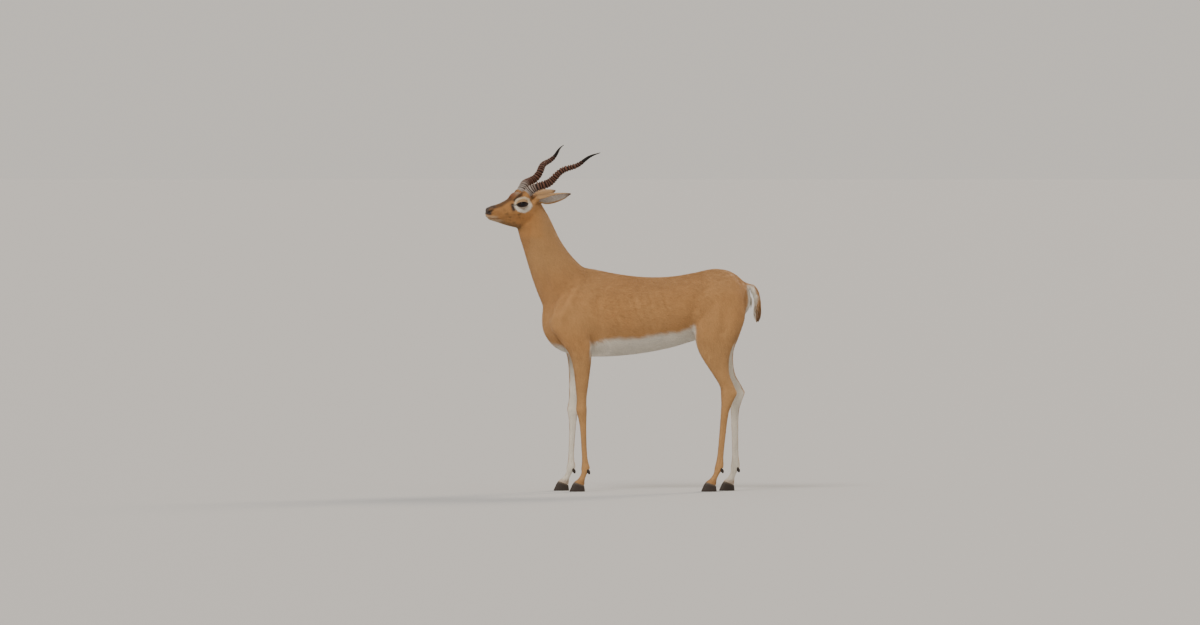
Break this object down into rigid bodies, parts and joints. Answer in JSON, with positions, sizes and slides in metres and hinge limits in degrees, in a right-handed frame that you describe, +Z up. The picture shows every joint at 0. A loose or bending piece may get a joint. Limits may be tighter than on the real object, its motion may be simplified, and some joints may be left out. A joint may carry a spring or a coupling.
{
  "type": "blackbuck",
  "caption": "Still life-size model of a standing blackbuck buck with ringed spiral horns, its head turned a little to one side.",
  "frame": {"origin": "on the floor, at the middle of the whole model's footprint", "axes": "+Z up, -X the way the body faces, -Y the buck's left side"},
  "size_m": [0.9626, 0.3002, 1.2139],
  "materials": {
    "coat": "short flat fawn-brown fur, white below and round the eyes",
    "ear": "thin ear, golden fur outside and pale hair inside",
    "eye": "wet dark brown eye",
    "horn": "dark ringed horn, smooth at the tip",
    "hoof": "dark horn of the hoof with faint growth lines"
  },
  "bodies": {
    "root": {"head": "coat", "neck": "coat", "shoulders": "coat", "barrel": "coat", "hindquarters": "coat", "tail": "coat", "ear_left": "ear", "ear_right": "ear", "eye_left": "eye", "eye_right": "eye", "horn_left": "horn", "horn_right": "horn", "foreleg_left_upper": "coat", "foreleg_left_lower": "coat", "foreleg_left_hoof_outer": "hoof", "foreleg_left_hoof_inner": "hoof", "foreleg_right_upper": "coat", "foreleg_right_lower": "coat", "foreleg_right_hoof_outer": "hoof", "foreleg_right_hoof_inner": "hoof", "hindleg_left_upper": "coat", "hindleg_left_lower": "coat", "hindleg_left_hoof_outer": "hoof", "hindleg_left_hoof_inner": "hoof", "hindleg_right_upper": "coat", "hindleg_right_lower": "coat", "hindleg_right_hoof_outer": "hoof", "hindleg_right_hoof_inner": "hoof"}
  },
  "joints": []
}
